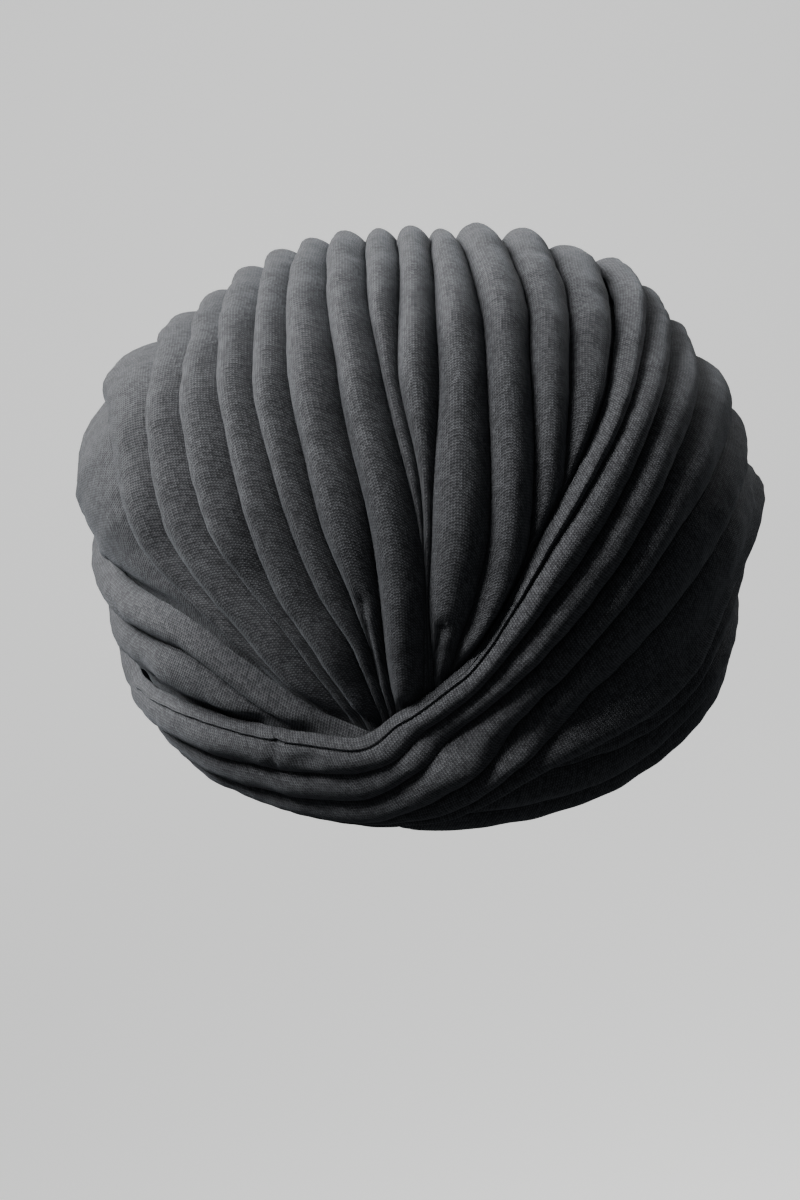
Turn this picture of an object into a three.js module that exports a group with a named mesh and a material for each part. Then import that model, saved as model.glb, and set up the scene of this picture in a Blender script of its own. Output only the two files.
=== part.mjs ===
// Turban headwrap of black knitted cloth, held in shape as on a head.
// Millimetres and degrees. +X is the wearer's right, +Y the face, +Z up.
// The origin is the inside of the top, where the head carries the wrap.
import * as THREE from "three";

const { clamp, degToRad, lerp, radToDeg, smoothstep } = THREE.MathUtils;

// Cloth and layers
const CLOTH = 2.6; // thickness of the doubled knit
const LAYER_GAP = 1.5; // clear space between one layer and the next
const PRESSED_FOLD = 1; // height of a fold that lies under another layer
const FOLD_STEEPNESS = 0.5; // greatest height of a fold, as a share of its width
const FOLD_ROUNDNESS = 0.6; // 1 is a sine wave, less is fuller with a sharper crease
const SETTLE_ANGLE = 7; // the crown's folds lie down over this angle before a wrap
const TUCK_ANGLE = 2; // a lower wrap stays pressed this far beyond the edge above it
const RISE_ANGLE = 3; // a lower wrap's folds then rise to full height over this angle

// Fineness of the surface
const FOLD_STEPS = [0, 0.18, 0.5, 0.82]; // places across one fold of the crown
const ROLL_STEPS = [0, 0.25, 0.7]; // places across one roll of a wrap
const CROWN_ROWS = 24; // steps from nape to forehead
const WRAP_STATIONS = 48; // steps round the head
const NAPE_FINENESS = 20; // degrees by which the steps are drawn in towards the nape

const KNIT_COLOUR = 0x1c1d1f;
const KNIT_ROUGHNESS = 0.95;

// Hollow for the head: radius from the middle of its widest level, by elevation
const HOLLOW = [
  { elevation: -60, left: 96, back: 107, right: 97, front: 86 },
  { elevation: -45, left: 101, back: 113, right: 107, front: 89 },
  { elevation: -30, left: 100, back: 110, right: 102, front: 92 },
  { elevation: -15, left: 99, back: 108, right: 94, front: 95 },
  { elevation: 0, left: 103, back: 106, right: 93, front: 97 },
  { elevation: 15, left: 101, back: 102, right: 90, front: 99 },
  { elevation: 30, left: 90, back: 97, right: 83, front: 97 },
  { elevation: 45, left: 83, back: 90, right: 83, front: 90 },
  { elevation: 60, left: 80, back: 83, right: 82, front: 83 },
  { elevation: 75, left: 76, back: 77, right: 77, front: 77 },
  { elevation: 90, left: 74, back: 74, right: 74, front: 74 },
];

// Stations along the crown: pitch from level at the back (0), over the top (90), to the face
const SIDE_DROOP = 0.25; // how far the crown's sides hang below level, as a share of the radius
const DROOP_POWER = 4; // the higher, the nearer to the sides the droop begins
const CROWN_PITCH = { nape: -38, low: -20, mid: 0, high: 25, top: 70, front: 130, hem: 183 };

// Creases of the crown from left to right: sideways angle at each station, and the
// height of the fold between this crease and the next
const CREASES = [
  { nape: -86, low: -86, mid: -86, high: -86, top: -86, front: -86, hem: -86, height: 5 },
  { nape: -12, low: -25, mid: -44, high: -51, top: -60, front: -62, hem: -60, height: 5 },
  { nape: -9, low: -18, mid: -34, high: -43, top: -51, front: -53, hem: -51, height: 6 },
  { nape: -7, low: -14, mid: -27, high: -36, top: -43, front: -45, hem: -43, height: 6 },
  { nape: -5, low: -9, mid: -20, high: -28, top: -35, front: -37, hem: -35, height: 6 },
  { nape: -4, low: -7, mid: -15, high: -22, top: -27, front: -28, hem: -27, height: 7 },
  { nape: -3, low: -5, mid: -8, high: -14, top: -19, front: -20, hem: -19, height: 7 },
  { nape: 0, low: 0, mid: -1, high: -7, top: -12, front: -13, hem: -12, height: 6 },
  { nape: 1, low: 1, mid: 0, high: -3, top: -5, front: -5, hem: -5, height: 6 },
  { nape: 2, low: 2, mid: 1, high: 2, top: 2, front: 2, hem: 2, height: 7 },
  { nape: 3, low: 4, mid: 9, high: 10, top: 8, front: 9, hem: 9, height: 7 },
  { nape: 5, low: 9, mid: 15, high: 17, top: 18, front: 19, hem: 18, height: 6 },
  { nape: 8, low: 14, mid: 20, high: 24, top: 27, front: 29, hem: 27, height: 6 },
  { nape: 12, low: 20, mid: 27, high: 34, top: 41, front: 43, hem: 41, height: 4 },
  { nape: 86, low: 86, mid: 86, high: 86, top: 86, front: 86, hem: 86, height: 0 },
];

// Stations round the head: azimuth from the nape, to the right positive. A table's face
// column also stands at the start of the turn, where it has no column of its own.
const WRAP_AZIMUTH = {
  start: -180, left: -70, leftRear: -45, nape: -12, low: 5, high: 20,
  rightRear: 45, right: 90, face: 180,
};

// Edges of the rolls in the wrap that crosses over, from its upper edge down: elevation at
// each station, and the height of the roll below the edge
const OVER_EDGES = [
  { face: 26, right: 50, rightRear: 31, high: 4, low: -22, nape: -31, leftRear: -30,
    left: -29, height: 5 },
  { face: 21, right: 41, rightRear: 25, high: -2, low: -24, nape: -32, leftRear: -31,
    left: -30, height: 6 },
  { face: 15, right: 31, rightRear: 18, high: -9, low: -27, nape: -36, leftRear: -37,
    left: -34, height: 7 },
  { face: 9, right: 21, rightRear: 10, high: -17, low: -32, nape: -41, leftRear: -43,
    left: -38, height: 7 },
  { face: 3, right: 12, rightRear: -2, high: -28, low: -41, nape: -46, leftRear: -47,
    left: -42, height: 6 },
  { face: -3, right: 3, rightRear: -14, high: -33, low: -43, nape: -47, leftRear: -48,
    left: -43, height: 6 },
  { face: -9, right: -6, rightRear: -30, high: -37, low: -45, nape: -48, leftRear: -49,
    left: -44, height: 0 },
];

// The same for the wrap that passes beneath
const UNDER_EDGES = [
  { face: 16, right: -1, rightRear: -26, high: -32, low: -35, nape: -31, leftRear: -12,
    left: -10, height: 6 },
  { face: 9, right: -14, rightRear: -36, high: -39, low: -41, nape: -37, leftRear: -17,
    left: -14, height: 6 },
  { face: 2, right: -23, rightRear: -42, high: -46, low: -47, nape: -43, leftRear: -21,
    left: -19, height: 6 },
  { face: -6, right: -33, rightRear: -48, high: -53, low: -54, nape: -51, leftRear: -40,
    left: -36, height: 0 },
];

// Heights of the layers above the hollow
const CROWN_TOP = CLOTH + PRESSED_FOLD;
const FIRST_WRAP = CROWN_TOP + LAYER_GAP;
const SECOND_WRAP = FIRST_WRAP + CLOTH + PRESSED_FOLD + LAYER_GAP;
const HEAD_TOP = HOLLOW.at(-1).back;

// Curve through the points of a table that never swings past them
function curve(places, values, at) {
  const last = places.length - 1;
  const slopes = places.map(() => 0);
  const rise = (i) => (values[i + 1] - values[i]) / (places[i + 1] - places[i]);
  for (let i = 1; i < last; i += 1) {
    const before = rise(i - 1);
    const after = rise(i);
    slopes[i] = before * after > 0 ? (2 * before * after) / (before + after) : 0;
  }
  const above = places.findIndex((place) => place >= at);
  const i = above < 0 ? last - 1 : Math.max(above - 1, 0);
  const span = places[i + 1] - places[i];
  const t = clamp((at - places[i]) / span, 0, 1);
  const ease = t * t * (3 - 2 * t);
  const bend = span * t * (1 - t) * (slopes[i] * (1 - t) - slopes[i + 1] * t);
  return values[i] + (values[i + 1] - values[i]) * ease + bend;
}

function along(row, stations, at) {
  const values = Object.keys(stations).map((name) => row[name] ?? row.face);
  return curve(Object.values(stations), values, at);
}

function hollowRadius(azimuth, elevation) {
  const turn = degToRad(azimuth);
  const column = (name) => {
    const elevations = HOLLOW.map((row) => row.elevation);
    return curve(elevations, HOLLOW.map((row) => row[name]), elevation);
  };
  const sideways = Math.sin(turn) / column(azimuth < 0 ? "left" : "right");
  const lengthways = Math.cos(turn) / column(Math.cos(turn) > 0 ? "back" : "front");
  return 1 / Math.hypot(sideways, lengthways);
}

function place(azimuth, elevation, lift) {
  const turn = degToRad(azimuth);
  const rise = degToRad(elevation);
  const radius = hollowRadius(azimuth, elevation) + lift;
  return new THREE.Vector3(
    radius * Math.sin(turn) * Math.cos(rise),
    -radius * Math.cos(turn) * Math.cos(rise),
    radius * Math.sin(rise) - HEAD_TOP,
  );
}

function foldShape(share) {
  return Math.sin(Math.PI * share) ** FOLD_ROUNDNESS;
}

const edge = (edges, index, azimuth) => along(edges.at(index), WRAP_AZIMUTH, azimuth);

// Share by which the crown is free of the wraps, 0 where one lies on it
function crownFree(azimuth, elevation) {
  const cover = Math.max(edge(OVER_EDGES, 0, azimuth), edge(UNDER_EDGES, 0, azimuth));
  return smoothstep(elevation - cover, TUCK_ANGLE, TUCK_ANGLE + SETTLE_ANGLE);
}

// Share by which the lower wrap is free of the one that crosses over it
function underFree(azimuth, elevation) {
  const above = elevation - edge(OVER_EDGES, 0, azimuth);
  const below = edge(OVER_EDGES, -1, azimuth) - elevation;
  return smoothstep(Math.max(above, below), TUCK_ANGLE, TUCK_ANGLE + RISE_ANGLE);
}

// Height at which the upper wrap lies: on the crown, or on the lower wrap
function overLift(azimuth, elevation) {
  const above = elevation - edge(UNDER_EDGES, 0, azimuth);
  return lerp(SECOND_WRAP, FIRST_WRAP, smoothstep(above, TUCK_ANGLE, TUCK_ANGLE + 2 * RISE_ANGLE));
}

// Closed wall from two equal grids of points, the second inside the first.
// A ring's last row meets its first.
function wall(outside, inside, ring) {
  const rows = outside.length;
  const columns = outside[0].length;
  const points = [...outside.flat(), ...inside.flat()];
  const outer = (row, column) => (row % rows) * columns + column;
  const inner = (row, column) => rows * columns + outer(row, column);
  const faces = [];
  const quad = (a, b, c, d) => faces.push(a, b, c, a, c, d);
  const lastRow = ring ? rows : rows - 1;
  const lastColumn = columns - 1;
  for (let row = 0; row < lastRow; row += 1) {
    for (let column = 0; column < lastColumn; column += 1) {
      const next = column + 1;
      quad(outer(row, column), outer(row, next), outer(row + 1, next), outer(row + 1, column));
      quad(inner(row, column), inner(row + 1, column), inner(row + 1, next), inner(row, next));
    }
    quad(outer(row, 0), outer(row + 1, 0), inner(row + 1, 0), inner(row, 0));
    quad(outer(row + 1, lastColumn), outer(row, lastColumn),
      inner(row, lastColumn), inner(row + 1, lastColumn));
  }
  if (!ring) {
    for (let column = 0; column < lastColumn; column += 1) {
      const next = column + 1;
      quad(outer(0, next), outer(0, column), inner(0, column), inner(0, next));
      quad(outer(lastRow, column), outer(lastRow, next), inner(lastRow, next), inner(lastRow, column));
    }
  }
  const geometry = new THREE.BufferGeometry().setFromPoints(points);
  geometry.setIndex(faces);
  geometry.computeVertexNormals();
  return geometry;
}

// Places across a row of folds: the fold's number and the share of the way across it
function across(folds, steps) {
  const places = [];
  for (let fold = 0; fold < folds; fold += 1) {
    for (const share of steps) places.push({ fold, share });
  }
  places.push({ fold: folds - 1, share: 1 });
  return places;
}

// Crown: pleats from the gather at the nape, over the top, to the forehead
function crownGeometry() {
  const pitches = Object.values(CROWN_PITCH);
  const outside = [];
  const inside = [];
  for (let row = 0; row <= CROWN_ROWS; row += 1) {
    const pitch = lerp(pitches[0], pitches.at(-1), row / CROWN_ROWS);
    const creases = CREASES.map((crease) => along(crease, CROWN_PITCH, pitch));
    const rise = degToRad(pitch);
    const points = across(CREASES.length - 1, FOLD_STEPS).map(({ fold, share }) => {
      const spread = degToRad(creases[fold + 1] - creases[fold]);
      const sideways = degToRad(lerp(creases[fold], creases[fold + 1], share));
      const back = Math.cos(sideways) * Math.cos(rise);
      const right = Math.sin(sideways);
      const up = Math.cos(sideways) * Math.sin(rise) - SIDE_DROOP * right ** DROOP_POWER;
      const azimuth = radToDeg(Math.atan2(right, back));
      const elevation = radToDeg(Math.atan2(up, Math.hypot(back, right)));
      const width = spread * hollowRadius(azimuth, elevation);
      const full = Math.min(CREASES[fold].height, FOLD_STEEPNESS * width);
      const pressed = Math.min(full, PRESSED_FOLD);
      const height = lerp(pressed, full, crownFree(azimuth, elevation)) * foldShape(share);
      return [place(azimuth, elevation, height + CLOTH), place(azimuth, elevation, height)];
    });
    outside.push(points.map((pair) => pair[0]));
    inside.push(points.map((pair) => pair[1]));
  }
  return wall(outside, inside, false);
}

// A wrap: rolls of cloth that run round the head between the edges of a table
function wrapGeometry(edges, liftAt, freeAt) {
  const outside = [];
  const inside = [];
  for (let station = 0; station < WRAP_STATIONS; station += 1) {
    const even = lerp(WRAP_AZIMUTH.start, WRAP_AZIMUTH.face, station / WRAP_STATIONS);
    const azimuth = even - NAPE_FINENESS * Math.sin(degToRad(even));
    const levels = edges.map((row) => along(row, WRAP_AZIMUTH, azimuth));
    const points = across(edges.length - 1, ROLL_STEPS).map(({ fold, share }) => {
      const elevation = lerp(levels[fold], levels[fold + 1], share);
      const spread = degToRad(levels[fold] - levels[fold + 1]);
      const full = Math.min(edges[fold].height, FOLD_STEEPNESS * spread * HEAD_TOP);
      const pressed = Math.min(full, PRESSED_FOLD);
      const height = lerp(pressed, full, freeAt(azimuth, elevation)) * foldShape(share);
      const lift = liftAt(azimuth, elevation);
      return [place(azimuth, elevation, lift + CLOTH + height), place(azimuth, elevation, lift)];
    });
    outside.push(points.map((pair) => pair[0]));
    inside.push(points.map((pair) => pair[1]));
  }
  return wall(outside, inside, true);
}

function piece(name, geometry) {
  const material = new THREE.MeshStandardMaterial({
    color: KNIT_COLOUR, roughness: KNIT_ROUGHNESS, metalness: 0,
  });
  const mesh = new THREE.Mesh(geometry, material);
  mesh.name = name;
  return mesh;
}

const turban = new THREE.Group();
turban.name = "turban_headwrap";
turban.add(piece("crown", crownGeometry()));
turban.add(piece("under_wrap", wrapGeometry(UNDER_EDGES, () => FIRST_WRAP, underFree)));
turban.add(piece("over_wrap", wrapGeometry(OVER_EDGES, overLift, () => 1)));

export default turban;
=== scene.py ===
# %% [markdown]
# # A turban headwrap of black jersey
# The real thing is one soft knitted cloth. It is pleated over the top of the head and gathered
# at the nape. Its two tails are wound round the rim: the right one crosses over the left one.
# The frame holds a plain solid for the crown and one for each tail. Here each of them becomes
# a fine cloth with the folds, the creases and the knit of the real one.

import bpy
import numpy as np
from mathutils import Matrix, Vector


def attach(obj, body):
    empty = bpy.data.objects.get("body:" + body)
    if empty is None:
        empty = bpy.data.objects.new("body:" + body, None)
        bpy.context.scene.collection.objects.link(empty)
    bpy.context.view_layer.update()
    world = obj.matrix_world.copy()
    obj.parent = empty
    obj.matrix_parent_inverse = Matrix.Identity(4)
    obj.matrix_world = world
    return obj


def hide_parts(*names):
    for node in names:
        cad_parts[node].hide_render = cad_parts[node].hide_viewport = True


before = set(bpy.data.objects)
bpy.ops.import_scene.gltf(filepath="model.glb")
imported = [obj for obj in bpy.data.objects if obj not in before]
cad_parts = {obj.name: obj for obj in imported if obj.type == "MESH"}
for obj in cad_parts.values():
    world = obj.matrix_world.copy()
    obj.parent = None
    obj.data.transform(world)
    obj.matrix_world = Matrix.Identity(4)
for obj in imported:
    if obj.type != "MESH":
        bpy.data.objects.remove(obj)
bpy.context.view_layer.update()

# %% [markdown]
# ## The form under the folds
# Every layer lies on the same hollow, which is the room for the head. It is described as a
# person would measure it: how far the cloth stands from the middle of the head, at several
# elevations, to the left, the back, the right and the front. A smooth curve joins the rows.
# Sculpting would give the same form, but a table can be read, checked and changed.

# %% Tables with named columns
def table(text):
    """Columns of numbers by name, from rows written as they would stand on paper."""
    head, *rows = [line.split() for line in text.strip().splitlines()]
    return {name: np.array([float(row[i]) for row in rows]) for i, name in enumerate(head)}


HOLLOW = table("""
    elevation  left  back  right  front
          -60    96   107     97     86
          -45   101   113    108     89
          -30    99   110    104     92
          -15    97   108     96     95
            0   103   106     95     97
           15   101   102     92     99
           30    90    97     85     97
           45    83    90     84     90
           60    80    83     82     83
           75    76    77     77     77
           90    74    74     74     74
""")
HEAD_TOP = HOLLOW["back"][-1]
print("hollow:", len(HOLLOW["elevation"]), "levels, top", HEAD_TOP, "mm above the middle")


# %% Curves and places on the form
METRE = 1000  # millimetres


def curve(places, values, at):
    """A smooth curve through the points of a table that never swings past them."""
    places, values, at = (np.asarray(a, float) for a in (places, values, at))
    rises = np.diff(values) / np.diff(places)
    before, after = rises[:-1], rises[1:]
    total = np.where(before * after > 0, before + after, 1)
    inner = np.where(before * after > 0, 2 * before * after / total, 0)
    slopes = np.concatenate([[0], inner, [0]])
    i = np.clip(np.searchsorted(places, at) - 1, 0, len(places) - 2)
    span = places[i + 1] - places[i]
    t = np.clip((at - places[i]) / span, 0, 1)
    bend = span * t * (1 - t) * (slopes[i] * (1 - t) - slopes[i + 1] * t)
    return values[i] + (values[i + 1] - values[i]) * t * t * (3 - 2 * t) + bend


def smooth(value, low, high):
    """0 below low, 1 above high, and an even rise between them."""
    t = np.clip((value - low) / (high - low), 0, 1)
    return t * t * (3 - 2 * t)


def mix(a, b, share):
    return a + (b - a) * share


def hollow_radius(azimuth, elevation):
    turn = np.radians(azimuth)
    at = {name: curve(HOLLOW["elevation"], HOLLOW[name], elevation) for name in HOLLOW}
    side = np.where(azimuth < 0, at["left"], at["right"])
    length = np.where(np.cos(turn) > 0, at["back"], at["front"])
    return 1 / np.hypot(np.sin(turn) / side, np.cos(turn) / length)


def place(azimuth, elevation, lift):
    """Points in metres, lift millimetres outside the hollow."""
    turn, rise = np.radians(azimuth), np.radians(elevation)
    radius = hollow_radius(azimuth, elevation) + lift
    x = radius * np.sin(turn) * np.cos(rise)
    y = -radius * np.cos(turn) * np.cos(rise)
    z = radius * np.sin(rise) - HEAD_TOP
    return np.stack([x, y, z], axis=-1) / METRE


print("a point on the back of the form:", place(np.array(0.0), np.array(0.0), 0))

# %% [markdown]
# ## The folds
# The crown's pleats start close together in the gather at the nape, open out like a fan, and
# run side by side over the top. Each row below is one crease: its angle to the left or right
# at nine stations on the way from the nape to the forehead, the height of the pleat that
# follows it, where in its width the ridge stands, and by how many degrees the crease wanders,
# because cloth never folds along a ruled line.

# %% Creases of the crown
CROWN_PITCH = np.array([-38, -20, -10, 0, 25, 45, 70, 130, 183])  # degrees over the top
STATIONS = ("nape", "gather", "low", "mid", "high", "upper", "top", "front", "hem")
CREASES = table("""
    nape  gather   low   mid  high  upper   top  front  hem  height  ridge  wander
     -86     -86   -86   -86   -86    -86   -86    -86  -86     5.6   0.55    0
     -15     -33   -44   -51   -57    -60   -64    -66  -64     5.8   0.46    0.4
     -12     -28   -37   -43   -48    -50   -54    -56  -54     6.0   0.44    0.3
      -9     -19   -28   -34   -41    -44   -47    -49  -47     6.2   0.44    0.3
      -7     -16   -23   -27   -34    -38   -41    -43  -41     6.2   0.44    0.3
      -5     -10   -16   -20   -28    -31   -34    -35  -34     6.2   0.44    0.3
      -4    -7.5   -11   -15   -22    -25   -27    -28  -27     6.6   0.44    0.3
      -3    -5.5  -6.5    -8   -14  -17.5   -20    -20  -20     6.8   0.44    0.3
       0       0     0    -1    -7    -10   -12    -13  -12     6.0   0.42    0.3
       1     0.6   0.3     0    -4     -4  -5.5     -5   -5     6.2   0.42    0.4
       2     1.4   0.7     1   2.3      2     2      2    2     6.5   0.40    0.3
       3     4.5   7.5   9.5    10    9.5     8      9    9     6.5   0.40    0.3
       5      10    14    16  17.5   18.5    18     19   18     5.9   0.38    0.3
       8      15    18    20  24.5   27.5    28     29   28     5.9   0.38    0.4
      12      20    24    27    34     38    41     43   41     5.0   0.38    0.4
      86      86    86    86    86     86    86     86   86     0     0.50    0
""")
print("crown:", len(CREASES["nape"]) - 1, "pleats")

# %% [markdown]
# The tails are strips of rolls. Each row is the edge of a roll, from the upper one down, with
# its elevation at nine places round the head, the height of the roll below it, and where in
# its width the ridge stands. The right tail is a wide fan on the right side, narrows to three
# rolls where it crosses the nape, and becomes a band on the left.

# %% Edges of the rolls
WRAP_AZIMUTH = np.array([-180, -70, -45, -12, 5, 20, 45, 65, 90, 180])
ROUND_HEAD = ("face", "left", "left_rear", "nape", "low", "high",
              "right_rear", "side", "right", "face")
OVER_EDGES = table("""
    face  right  side  right_rear  high    low  nape  left_rear  left  height  ridge
      26     52  44.5        32.0   2.5  -21.5   -31        -31   -32     4.4   0.42
      21     43  36.5        25.5  -0.5  -22.5   -32        -32   -33     4.9   0.42
      15     34  28.5        18.5  -8.5  -26.5   -36        -38   -38     5.4   0.42
       9     26  21.0         9.5   -17  -30.5   -41        -43   -41     5.4   0.42
       3     15   9.0        -1.0   -24  -38.5   -46        -47   -43     4.9   0.42
      -3      5  -1.0       -14.0   -31  -43.0   -47        -48   -44     4.4   0.42
      -9     -6 -15.0       -30.0   -37  -45.0   -48        -49   -45     0     0.50
""")
UNDER_EDGES = table("""
    face  right  side  right_rear  high  low  nape  left_rear  left  height  ridge
      16     -1   -14         -26   -32  -35   -31        -16   -13     4.8   0.45
       9    -14   -25         -36   -39  -41   -37      -21.5   -21     4.8   0.45
       2    -23   -32         -42   -46  -47   -43        -30   -29     4.8   0.45
      -8    -33   -41         -48   -53  -54   -51        -43   -41     0     0.50
""")


def edge(edges, row, azimuth):
    return curve(WRAP_AZIMUTH, [edges[name][row] for name in ROUND_HEAD], azimuth)


print("over:", len(OVER_EDGES["face"]) - 1, "rolls; under:", len(UNDER_EDGES["face"]) - 1, "rolls")

# %% [markdown]
# ## From a flat grid to a draped cloth
# A piece of cloth begins flat. So does each piece here: a flat grid is added, each of its
# points is carried to its place on the folds, and the sheet then gets the thickness of the
# knit. Simulating the winding of a tail would be slow and would not end in these folds, so
# the folds are placed and the cloth follows them.

# %% The flat cloth
def flat_cloth(name, columns, rows):
    """A flat unit grid, with the column and the row of each of its points."""
    bpy.ops.object.select_all(action="DESELECT")
    bpy.ops.mesh.primitive_grid_add(x_subdivisions=columns, y_subdivisions=rows, size=1)
    piece = bpy.context.object
    piece.name = piece.data.name = name
    flat = np.empty(3 * len(piece.data.vertices))
    piece.data.vertices.foreach_get("co", flat)
    flat = flat.reshape(-1, 3)
    column = np.rint((flat[:, 0] + 0.5) * columns).astype(int)
    row = np.rint((flat[:, 1] + 0.5) * rows).astype(int)
    return piece, column, row


# %% The form of a fold
FOLD_STEEPNESS = 0.52  # greatest height of a fold, as a share of its width
FOLD_ROUNDNESS = 0.78  # below 1, a fold is fuller than a sine
STEEP_SIDES = 0.07
UNEVEN = 0.1  # share by which the height of a fold rises and falls


def across_fold(steps):
    """Shares of the way across a fold, close together at its steep sides."""
    even = np.arange(steps + 1) / steps
    share = 0.5 - 0.5 * np.cos(np.pi * even)
    return share - STEEP_SIDES * np.sin(2 * np.pi * share)


def fold_rise(share, ridge):
    """Height of a fold from one crease to the next, 1 at its ridge."""
    leaned = share ** (np.log(0.5) / np.log(ridge))
    return np.maximum(np.sin(np.pi * leaned), 0) ** FOLD_ROUNDNESS


def waves(distance, lengths, chance):
    """A gentle irregular wave of height 1, from a few sines that begin anywhere."""
    sines = [np.sin(2 * np.pi * (distance / length + chance.random())) for length in lengths]
    return sum(sines) / len(lengths)


share = across_fold(8)
print("a fold in eight steps:", share.round(2), fold_rise(share, 0.4).round(2))

# %% Small swellings
RUMPLE = 0.22  # millimetres
RUMPLE_WAVES = 14
RUMPLE_LENGTH = (7, 22)  # millimetres
RUMPLE_SEED = 5


def rumple(points):
    """Small uneven swellings of a soft cloth, in millimetres, the same for all its folds."""
    chance = np.random.default_rng(RUMPLE_SEED)
    total = np.zeros(points.shape[:2])
    for _ in range(RUMPLE_WAVES):
        heading = chance.normal(size=3)
        length = chance.uniform(*RUMPLE_LENGTH)
        phase = points @ (heading / np.linalg.norm(heading)) * METRE / length
        total += np.sin(2 * np.pi * (phase + chance.random()))
    return RUMPLE * total / np.sqrt(RUMPLE_WAVES)


print("swellings:", RUMPLE_WAVES, "waves of", RUMPLE_LENGTH, "mm")

# %% [markdown]
# A few places differ from the even folds: short gashes where a pleat splits, a pucker and a
# hollow on the band, a puff at the left of the gather. Each is a long soft dent, placed and
# turned as listed. A negative depth swells the cloth instead. The first column names the
# cloth: 0 is the crown, 1 the lower tail and 2 the upper one.

# %% Dents and puffs
CROWN_CLOTH, UNDER_CLOTH, OVER_CLOTH = range(3)
DENTS = table("""
    cloth  azimuth  elevation  length  width  turn  depth
      0      -8.2      -16       13     0.8    -82    1.8
      0      -9.0      -11        3     1.4    -75    1.2
      0       2.0      -18       10     1.0     84    2.2
      0       3.2      -14        3     1.6     30    1.6
      0     -46         -4       14     6.0    -60   -0.8
      1     -46        -26       12     6.0    -15   -1.5
      1     -62        -17.5      9     1.2    -20    1.5
      1     -55        -21.5      9     1.3     -8    1.5
      2     -24.6      -33.5      5     0.8     75    1.3
      2     -27.5      -34        5     1.4     80   -0.5
      2     -18.6      -33.5      4     1.8      5    1.5
      2     -31        -37        7     1.2    -12    0.8
""")
DENT_RADIUS = 112  # millimetres from the middle of the head to the outer cloth


def dents(cloth, azimuth, elevation):
    """How deep the dents of one cloth go at each point, in millimetres."""
    depth = np.zeros_like(elevation)
    for i in np.flatnonzero(DENTS["cloth"] == cloth):
        row = {name: values[i] for name, values in DENTS.items()}
        turn = np.radians(row["turn"])
        level = np.cos(np.radians(row["elevation"]))
        right = np.radians(azimuth - row["azimuth"]) * level * DENT_RADIUS
        up = np.radians(elevation - row["elevation"]) * DENT_RADIUS
        along = (right * np.cos(turn) + up * np.sin(turn)) / row["length"]
        aside = (up * np.cos(turn) - right * np.sin(turn)) / row["width"]
        depth += row["depth"] * np.exp(-(along**4) - aside**2)
    return depth


print("dents:", len(DENTS["depth"]))

# %% [markdown]
# The knit follows the cloth, so every fold carries its own map: millimetres across the fold
# from its ridge, and millimetres along it. Where a fold narrows the stitches keep their size
# and simply run out of sight in the crease, as they do on the real cloth.

# %% The map of the knit
TINY = 1e-9  # keeps a vector of no length from dividing by 0


def unit(vectors):
    return vectors / (np.linalg.norm(vectors, axis=-1, keepdims=True) + TINY)


def map_knit(piece, points, steps, column, row, start):
    """Writes the knit map. Row start is where the rows of loops lie straight across the folds."""
    points = points * METRE
    heading = unit(np.gradient(points, axis=0))
    step = np.diff(points, axis=1)
    ahead = (step * unit(heading[:, 1:] + heading[:, :-1])).sum(axis=2)
    aside = np.sqrt(np.maximum((step**2).sum(axis=2) - ahead**2, 0))
    walk = np.pad(aside.cumsum(axis=1), ((0, 0), (1, 0)))
    skew = np.pad(ahead[start].cumsum(), (1, 0))
    run = np.pad(np.linalg.norm(np.diff(points, axis=0), axis=2).cumsum(axis=0), ((1, 0), (0, 0)))
    corners = np.empty(len(piece.data.loops), int)
    piece.data.loops.foreach_get("vertex_index", corners)
    col, line = column[corners], row[corners]
    ridge = np.repeat(col.reshape(-1, 4).min(axis=1) // steps, 4) * steps + steps // 2
    across = walk[line, col] - walk[line, ridge]
    along = run[line, col] - run[start, col] + skew[col] - skew[ridge]
    piece.data.uv_layers[0].name = "knit"
    piece.data.uv_layers["knit"].data.foreach_set("uv", np.stack([across, along], axis=1).ravel())


# %% Drape and thicken
CLOTH = 1.4  # millimetres of knit


def drape(name, points, steps):
    """A flat grid carried to its points, with the knit laid straight at its middle row."""
    rows, columns = points.shape[0] - 1, points.shape[1] - 1
    piece, column, row = flat_cloth(name, columns, rows)
    piece.data.vertices.foreach_set("co", points[row, column].ravel())
    piece.data.update()
    map_knit(piece, points, steps, column, row, rows // 2)
    return piece


def give_thickness(piece):
    wall = piece.modifiers.new("thickness", "SOLIDIFY")
    wall.thickness = CLOTH / METRE
    wall.offset = -1
    bpy.ops.object.modifier_apply(modifier=wall.name)
    bpy.ops.object.shade_smooth()
    print(piece.name, len(piece.data.polygons), "faces")


# %% [markdown]
# ## The crown
# The pleats stand up round and close to each other, so that only a thin dark line shows
# between two of them. They lie down where a tail covers them, and they shrink towards the
# gather, where many of them share a few centimetres.

# %% Where the crown is free
PRESSED = 0.5  # millimetres, height of a fold that lies under another cloth
TUCK = -0.5  # degrees above a tail's edge where the pleats begin to rise
SETTLE = 4.0  # degrees in which they reach their height


def crown_free(azimuth, elevation):
    """1 where the crown shows, 0 where a tail lies on it."""
    cover = np.maximum(edge(OVER_EDGES, 0, azimuth), edge(UNDER_EDGES, 0, azimuth))
    return smooth(elevation - cover, TUCK, TUCK + SETTLE)


left_side = crown_free(np.array(-90.0), np.array([-30.0, 30.0]))
print("free on the left, low and high:", left_side)

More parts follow.
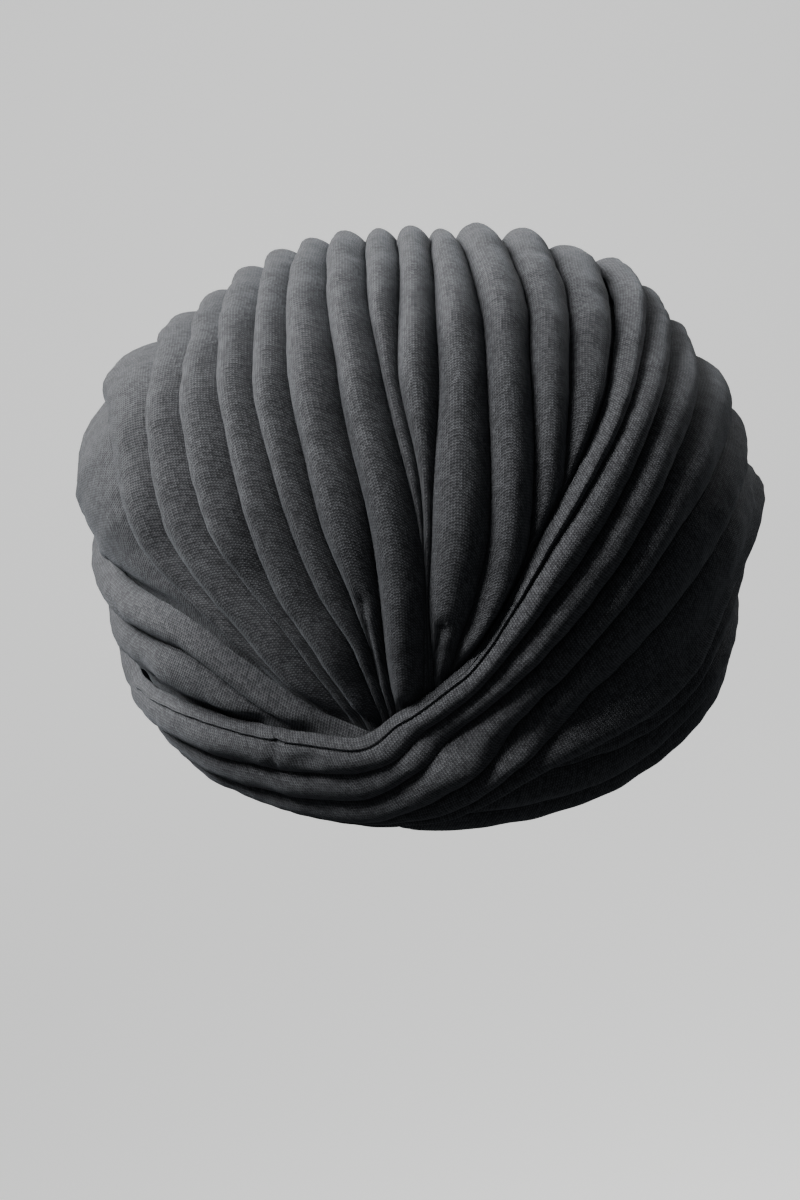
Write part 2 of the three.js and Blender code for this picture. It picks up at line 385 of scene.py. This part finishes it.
# %% Lay the crown
CROWN_STEPS = 18
CROWN_ROWS = 176
CROWN_LIFT = 2.0  # millimetres from the hollow to the outside of a crease
CROWN_SEED = 11
FAN = (-35, 0)  # degrees over the top in which the creases begin to wander
WANDER_LENGTHS = (26, 41, 67)  # degrees over the top
UNEVEN_LENGTHS = (19, 33, 55)  # degrees over the top
SIDE_DROOP = 0.25  # how far the outermost creases hang lower, as a share of the radius
DROOP_POWER = 4


def crown_creases(pitch, chance):
    spread = smooth(pitch, *FAN)
    creases = []
    for i, wander in enumerate(CREASES["wander"]):
        line = curve(CROWN_PITCH, [CREASES[name][i] for name in STATIONS], pitch)
        creases.append(line + wander * spread * waves(pitch, WANDER_LENGTHS, chance))
    return creases


def crown_points():
    chance = np.random.default_rng(CROWN_SEED)
    pitch = np.linspace(CROWN_PITCH[0], CROWN_PITCH[-1], CROWN_ROWS + 1)
    over_top = np.radians(pitch)[:, None]
    creases = crown_creases(pitch, chance)
    share = across_fold(CROWN_STEPS)
    strips = []
    for i in range(len(creases) - 1):
        rise = fold_rise(share, CREASES["ridge"][i])
        left, right = creases[i][:, None], creases[i + 1][:, None]
        sideways = np.radians(mix(left, right, share))
        back = np.cos(sideways) * np.cos(over_top)
        across = np.sin(sideways)
        up = np.cos(sideways) * np.sin(over_top) - SIDE_DROOP * across**DROOP_POWER
        azimuth = np.degrees(np.arctan2(across, back))
        elevation = np.degrees(np.arctan2(up, np.hypot(back, across)))
        width = np.radians(right - left) * hollow_radius(azimuth, elevation)
        full = np.minimum(CREASES["height"][i], FOLD_STEEPNESS * width)
        full = full * (1 + UNEVEN * waves(pitch, UNEVEN_LENGTHS, chance))[:, None]
        height = mix(np.minimum(full, PRESSED), full, crown_free(azimuth, elevation)) * rise
        lift = CROWN_LIFT + height - dents(CROWN_CLOTH, azimuth, elevation)
        strip = place(azimuth, elevation, lift + rumple(place(azimuth, elevation, lift)))
        strips.append(strip if i == 0 else strip[:, 1:])
    return np.concatenate(strips, axis=1)


crown = drape("crown_cloth", crown_points(), CROWN_STEPS)
give_thickness(crown)

# %% [markdown]
# ## The two tails
# A tail is a strip of soft rolls. Between two rolls the crease stays above what lies below,
# but at the outer edges of the strip the cloth curls down close to it. The strip goes once
# round the head and is closed where it meets itself.

# %% How the tails lie
WRAP_CLOTH = 1.8  # millimetres from the foot of a tail to the outside of its creases
LAYER_GAP = 1.5
PLEAT_ROOM = 2.0  # room for the crown's pressed pleats
ROLL_ROOM = 1.8  # room for the pressed rolls of the tail beneath
FIRST_WRAP = CROWN_LIFT + PLEAT_ROOM + LAYER_GAP
SECOND_WRAP = FIRST_WRAP + WRAP_CLOTH + ROLL_ROOM + LAYER_GAP
UNDER_SETTLE = 3  # degrees in which rolls that come out from beneath reach their height
OVER_SETTLE = 5  # degrees in which the upper tail comes down to the crown


def under_lift(azimuth, elevation):
    return np.full_like(elevation, FIRST_WRAP)


def under_free(azimuth, elevation):
    above = elevation - edge(OVER_EDGES, 0, azimuth)
    below = edge(OVER_EDGES, -1, azimuth) - elevation
    return smooth(np.maximum(above, below), 0, UNDER_SETTLE)


def over_lift(azimuth, elevation):
    above = elevation - edge(UNDER_EDGES, 0, azimuth)
    return mix(SECOND_WRAP, FIRST_WRAP, smooth(above, 0, OVER_SETTLE))


def over_free(azimuth, elevation):
    return np.ones_like(elevation)


print("the tails lie", FIRST_WRAP, "and", round(SECOND_WRAP, 1), "mm outside the hollow")

# %% Lay the tails
WRAP_STEPS = 20
WRAP_ROWS = 330
NAPE_FINENESS = 20  # degrees by which the rows move towards the nape
EDGE_SINK = 3.2  # millimetres by which the outer edges curl down
CURL = 0.5  # share of an outer roll's width that curls
BEATS_ROUND = (5, 8, 13)  # rises and falls of a roll once round
BEAT_START = 6.3  # radians in which a beat may begin
WRAP_SEED = 23
NEXT_SEED = 14
SEAM = 1e-6  # metres


def curl_down(share, is_first, is_last):
    """1 at an outer edge of the strip, 0 on the rest of it."""
    curl = np.zeros_like(share)
    if is_first:
        curl = np.maximum(curl, (1 - np.minimum(share / CURL, 1)) ** 2)
    if is_last:
        curl = np.maximum(curl, (1 - np.minimum((1 - share) / CURL, 1)) ** 2)
    return curl


def wrap_points(edges, lift_at, free_at, cloth):
    chance = np.random.default_rng(WRAP_SEED + NEXT_SEED * cloth)
    even = np.linspace(-180, 180, WRAP_ROWS + 1)
    azimuth = even - NAPE_FINENESS * np.sin(np.radians(even))
    levels = [edge(edges, i, azimuth) for i in range(len(edges["face"]))]
    share = across_fold(WRAP_STEPS)
    strips = []
    for i in range(len(levels) - 1):
        rise = fold_rise(share, edges["ridge"][i])
        top, bottom = levels[i][:, None], levels[i + 1][:, None]
        elevation = mix(top, bottom, share)
        turn = np.broadcast_to(azimuth[:, None], elevation.shape)
        width = np.radians(top - bottom) * HEAD_TOP
        full = np.minimum(edges["height"][i], FOLD_STEEPNESS * width)
        beats = [np.sin(np.radians(k * even) + BEAT_START * chance.random()) for k in BEATS_ROUND]
        full = full * (1 + UNEVEN * (sum(beats) / len(beats)))[:, None]
        height = mix(np.minimum(full, PRESSED), full, free_at(turn, elevation)) * rise
        curl = curl_down(share, i == 0, i == len(levels) - 2)
        lift = lift_at(turn, elevation) + WRAP_CLOTH - EDGE_SINK * curl + height
        lift -= dents(cloth, turn, elevation)
        strip = place(turn, elevation, lift + rumple(place(turn, elevation, lift)))
        strips.append(strip if i == 0 else strip[:, 1:])
    return np.concatenate(strips, axis=1)


def wrap(name, edges, lift_at, free_at, cloth):
    piece = drape(name, wrap_points(edges, lift_at, free_at, cloth), WRAP_STEPS)
    bpy.ops.object.mode_set(mode="EDIT")
    bpy.ops.mesh.select_all(action="SELECT")
    bpy.ops.mesh.remove_doubles(threshold=SEAM)
    bpy.ops.object.mode_set(mode="OBJECT")
    give_thickness(piece)
    return piece


under = wrap("under_wrap_cloth", UNDER_EDGES, under_lift, under_free, UNDER_CLOTH)
over = wrap("over_wrap_cloth", OVER_EDGES, over_lift, over_free, OVER_CLOTH)

# %% [markdown]
# ## The knit
# Jersey is rows of small loops. Each loop shows as two legs that lean together like a V, and
# the eye sees a fine grid of dots. The height of the yarn is worked out from the knit map:
# the place in the loop across, the place in the loop along, and the lean of the legs. The
# yarn is black but not even: some loops are greyer, and fine hairs catch the light. Its
# colour also holds painted shade: it is darker where the yarn lies low between the loops
# and rows, and on the leg of each loop that is turned away from the light.

# %% Nodes in one line
TURN = 2 * np.pi


def node(tree, kind, inputs=(), **settings):
    """A node with its settings, and its inputs set to values or joined to other nodes."""
    made = tree.nodes.new(kind)
    for key, value in settings.items():
        setattr(made, key, value)
    for i, value in dict(inputs).items():
        if hasattr(value, "is_output"):
            tree.links.new(value, made.inputs[i])
        else:
            made.inputs[i].default_value = value
    return made.outputs[0]


def math(tree, operation, *values):
    return node(tree, "ShaderNodeMath", enumerate(values), operation=operation)


def wave(tree, value):
    """A sine from 0 to 1, which repeats with every whole number."""
    sine = math(tree, "SINE", math(tree, "MULTIPLY", value, TURN))
    return math(tree, "MULTIPLY_ADD", sine, 0.5, 0.5)


def between(tree, value, low, high):
    """A value from 0 to 1, moved to the range from low to high."""
    return math(tree, "MULTIPLY_ADD", value, high - low, low)


def set_shader(material, settings):
    """Sets the main shader of a material and returns it."""
    material.use_nodes = True
    shader = material.node_tree.nodes["Principled BSDF"]
    for name, value in settings.items():
        shader.inputs[name].default_value = value
    return shader


# %% The loops of the knit
WALE = 0.85  # millimetres from loop to loop along a row
COURSE = 0.85  # millimetres from row to row
HALF_LOOP = 0.5
LEG_LEAN = 0.9  # rows by which the legs of a loop lean
ROW_GAP = 0.25  # height of the yarn between two rows
SHADED_LEG = 0.65  # painted shade: tone of the leg that is turned away from the light
LOOP_TONES = (0.55, 1.45)  # darkest and lightest loop
HEATHER_TONES = (0.3, 1.7)  # darkest and lightest patch
HEATHER_STREAK = (0.25, 1.1, 1)  # waves in a millimetre, across and along
NOISE_DETAIL = 3.0


def yarn(tree, uv):
    """The height of the yarn, and its tone with painted shade in the low places and on the
    turned-away leg, both from the place in the loop.
    """
    size = (1 / WALE, 1 / COURSE, 1)
    loops = node(tree, "ShaderNodeVectorMath", {0: uv, 1: size}, operation="MULTIPLY")
    parts = tree.nodes.new("ShaderNodeSeparateXYZ")
    tree.links.new(loops, parts.inputs[0])
    u, v = parts.outputs[0], parts.outputs[1]
    leg = math(tree, "PINGPONG", u, HALF_LOOP)
    course = wave(tree, math(tree, "MULTIPLY_ADD", leg, LEG_LEAN, v))
    height = math(tree, "MULTIPLY", between(tree, course, ROW_GAP, 1), wave(tree, leg))
    leg_in_painted_shade = math(tree, "GREATER_THAN", math(tree, "FRACT", u), HALF_LOOP)
    cell = node(tree, "ShaderNodeVectorMath", {0: loops}, operation="FLOOR")
    loop_tone = node(tree, "ShaderNodeTexWhiteNoise", {"Vector": cell}, noise_dimensions="2D")
    streaks = node(tree, "ShaderNodeVectorMath", {0: uv, 1: HEATHER_STREAK}, operation="MULTIPLY")
    heather = node(tree, "ShaderNodeTexNoise",
                   {"Vector": streaks, "Scale": 1.0, "Detail": NOISE_DETAIL})
    # Painted shade: the colour darkens where the yarn lies low and on the leg turned away from the
    # light; the loop and heather tones after it are the yarn's own.
    tone_and_shade = math(tree, "MULTIPLY", height, between(tree, leg_in_painted_shade, SHADED_LEG, 1))
    tone_and_shade = math(tree, "MULTIPLY", tone_and_shade, between(tree, loop_tone, *LOOP_TONES))
    tone_and_shade = math(tree, "MULTIPLY", tone_and_shade, between(tree, heather, *HEATHER_TONES))
    return height, tone_and_shade


print("loops:", WALE, "x", COURSE, "mm")

# %% The jersey material
# The base colour runs from YARN_DARK to YARN_LIGHT with the tone, which holds painted shade as
# well as the yarn's own uneven tone.
YARN_DARK = (0.007, 0.007, 0.008, 1)
YARN_LIGHT = (0.075, 0.077, 0.082, 1)
FUZZ_SCALE = 2.2  # waves in a millimetre
FUZZ_HEIGHT = 0.5  # share of the yarn's height
YARN_RELIEF = {"Strength": 0.4, "Distance": 0.0004}
JERSEY_FINISH = {"Roughness": 0.9, "Specular IOR Level": 0.2, "Sheen Weight": 0.1,
                 "Sheen Roughness": 0.4, "Sheen Tint": (0.6, 0.65, 0.72, 1)}


def jersey(name):
    material = bpy.data.materials.new(name)
    shader = set_shader(material, JERSEY_FINISH)
    tree = material.node_tree
    uv = node(tree, "ShaderNodeUVMap", uv_map="knit")
    height, tone_and_shade = yarn(tree, uv)
    fuzz = node(tree, "ShaderNodeTexNoise",
                {"Vector": uv, "Scale": FUZZ_SCALE, "Detail": NOISE_DETAIL})
    height = math(tree, "MULTIPLY_ADD", fuzz, FUZZ_HEIGHT, height)
    bump = node(tree, "ShaderNodeBump", {**YARN_RELIEF, "Height": height})
    tree.links.new(bump, shader.inputs["Normal"])
    colour = tree.nodes.new("ShaderNodeMix")
    colour.data_type = "RGBA"
    tree.links.new(tone_and_shade, colour.inputs["Factor"])
    dark, light = [socket for socket in colour.inputs if socket.type == "RGBA"]
    dark.default_value = YARN_DARK
    light.default_value = YARN_LIGHT
    mixed = [socket for socket in colour.outputs if socket.type == "RGBA"][0]
    tree.links.new(mixed, shader.inputs["Base Color"])
    return material


print("yarn from", YARN_DARK, "to", YARN_LIGHT)

# %% [markdown]
# Each cloth takes the place of its solid, which is hidden, and gets a jersey material of its
# own.

# %% Dress the pieces
for piece, node_name, slot in ((crown, "crown", "knit_crown"), (under, "under_wrap", "knit_under"),
                               (over, "over_wrap", "knit_over")):
    piece.data.materials.append(jersey(slot))
    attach(piece, "root")
    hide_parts(node_name)
    print(piece.name, "stands for", node_name, "in", slot)

# %% [markdown]
# ## Floor, light and camera
# The wrap is shown from behind, as it was photographed, a little from above. Two soft lights
# stand on the left, one towards the camera and one beyond the wrap. They graze the pleats, so
# that one side of each is lit and the other stays dark. A weak light serves the far side,
# and one more lights the bowl beyond. The floor is a pale bowl all round, which shines a
# little by itself. It is kept from throwing light back on the cloth, because stray light
# would flatten the folds.

# %% The stage
FLOOR = -0.8  # metres
BOWL_RADIUS = 3.0
BOWL_HEIGHT = 3.4
BOWL_ROUND = 1.6
BOWL_SIDES = 128
ROUND_STEPS = 16
LEVEL = 0.5  # upright share of its normal beyond which a face lies flat
PALE_PAINT = {"Base Color": (0.62, 0.62, 0.61, 1), "Roughness": 0.8,
              "Emission Color": (1, 1, 0.99, 1), "Emission Strength": 0.6}
bpy.ops.object.select_all(action="DESELECT")
bpy.ops.mesh.primitive_cylinder_add(vertices=BOWL_SIDES, radius=BOWL_RADIUS, depth=BOWL_HEIGHT,
                                    location=(0, 0, FLOOR + BOWL_HEIGHT / 2))
floor = bpy.context.object
floor.name = "floor"


def pick_faces(piece, wanted):
    """Leaves the piece in edit mode with only the wanted faces selected."""
    bpy.ops.object.mode_set(mode="EDIT")
    bpy.ops.mesh.select_mode(type="FACE")
    bpy.ops.mesh.select_all(action="DESELECT")
    bpy.ops.object.mode_set(mode="OBJECT")
    for face in piece.data.polygons:
        face.select = wanted(face)
    bpy.ops.object.mode_set(mode="EDIT")


pick_faces(floor, lambda face: face.normal.z > LEVEL)
bpy.ops.mesh.delete(type="ONLY_FACE")
pick_faces(floor, lambda face: face.normal.z < -LEVEL)
bpy.ops.mesh.region_to_loop()
bpy.ops.mesh.bevel(offset=BOWL_ROUND, segments=ROUND_STEPS, affect="EDGES")
bpy.ops.mesh.select_all(action="SELECT")
bpy.ops.mesh.flip_normals()
bpy.ops.object.mode_set(mode="OBJECT")
bpy.ops.object.shade_smooth_by_angle()
print("floor:", len(floor.data.polygons), "faces")
paint = bpy.data.materials.new("pale_floor")
set_shader(paint, PALE_PAINT)
floor.data.materials.append(paint)
floor.visible_diffuse = False
floor.visible_glossy = False
floor.visible_shadow = False


# %% The lights
SKY = (0.9, 0.95, 1, 1)
SKY_STRENGTH = 0.16


def softbox(name, spot, aim, size, power, spread):
    """A square lamp that looks at a point and fans its light out by some degrees."""
    bpy.ops.object.light_add(type="AREA", location=spot)
    lamp = bpy.context.object
    lamp.name = name
    lamp.data.size = size
    lamp.data.energy = power
    lamp.data.spread = np.radians(spread)
    lamp.rotation_euler = (Vector(aim) - Vector(spot)).to_track_quat("-Z", "Y").to_euler()


softbox("key", spot=(-1.44, -0.83, 1.65), aim=(0, 0, 0.15), size=1.2, power=13, spread=40)
softbox("rim", spot=(-1.62, 0.93, 1.43), aim=(0, 0, 0.15), size=1.2, power=13, spread=40)
softbox("side", spot=(1.03, 1.65, 1.33), aim=(0, 0, 0), size=1.2, power=2.4, spread=40)
softbox("wall", spot=(0, 1.8, 2.0), aim=(0, 2.2, 0), size=1.5, power=20, spread=120)
world = bpy.data.worlds.new("studio")
world.use_nodes = True
sky = world.node_tree.nodes["Background"]
sky.inputs["Color"].default_value = SKY
sky.inputs["Strength"].default_value = SKY_STRENGTH
bpy.context.scene.world = world

# %% The camera
CAMERA_SPOT = (-0.0066, -0.649, 0.001)  # metres
CAMERA_TILT = 80  # degrees up from looking straight down
FILM_HEIGHT = 36  # millimetres
LENS = 60  # millimetres
bpy.ops.object.camera_add(location=CAMERA_SPOT, rotation=(np.radians(CAMERA_TILT), 0, 0))
camera = bpy.context.object
camera.name = "photo_camera"
camera.data.sensor_fit = "VERTICAL"
camera.data.sensor_height = FILM_HEIGHT
camera.data.lens = LENS
bpy.context.scene.camera = camera
print("camera:", LENS, "mm, from", CAMERA_SPOT)
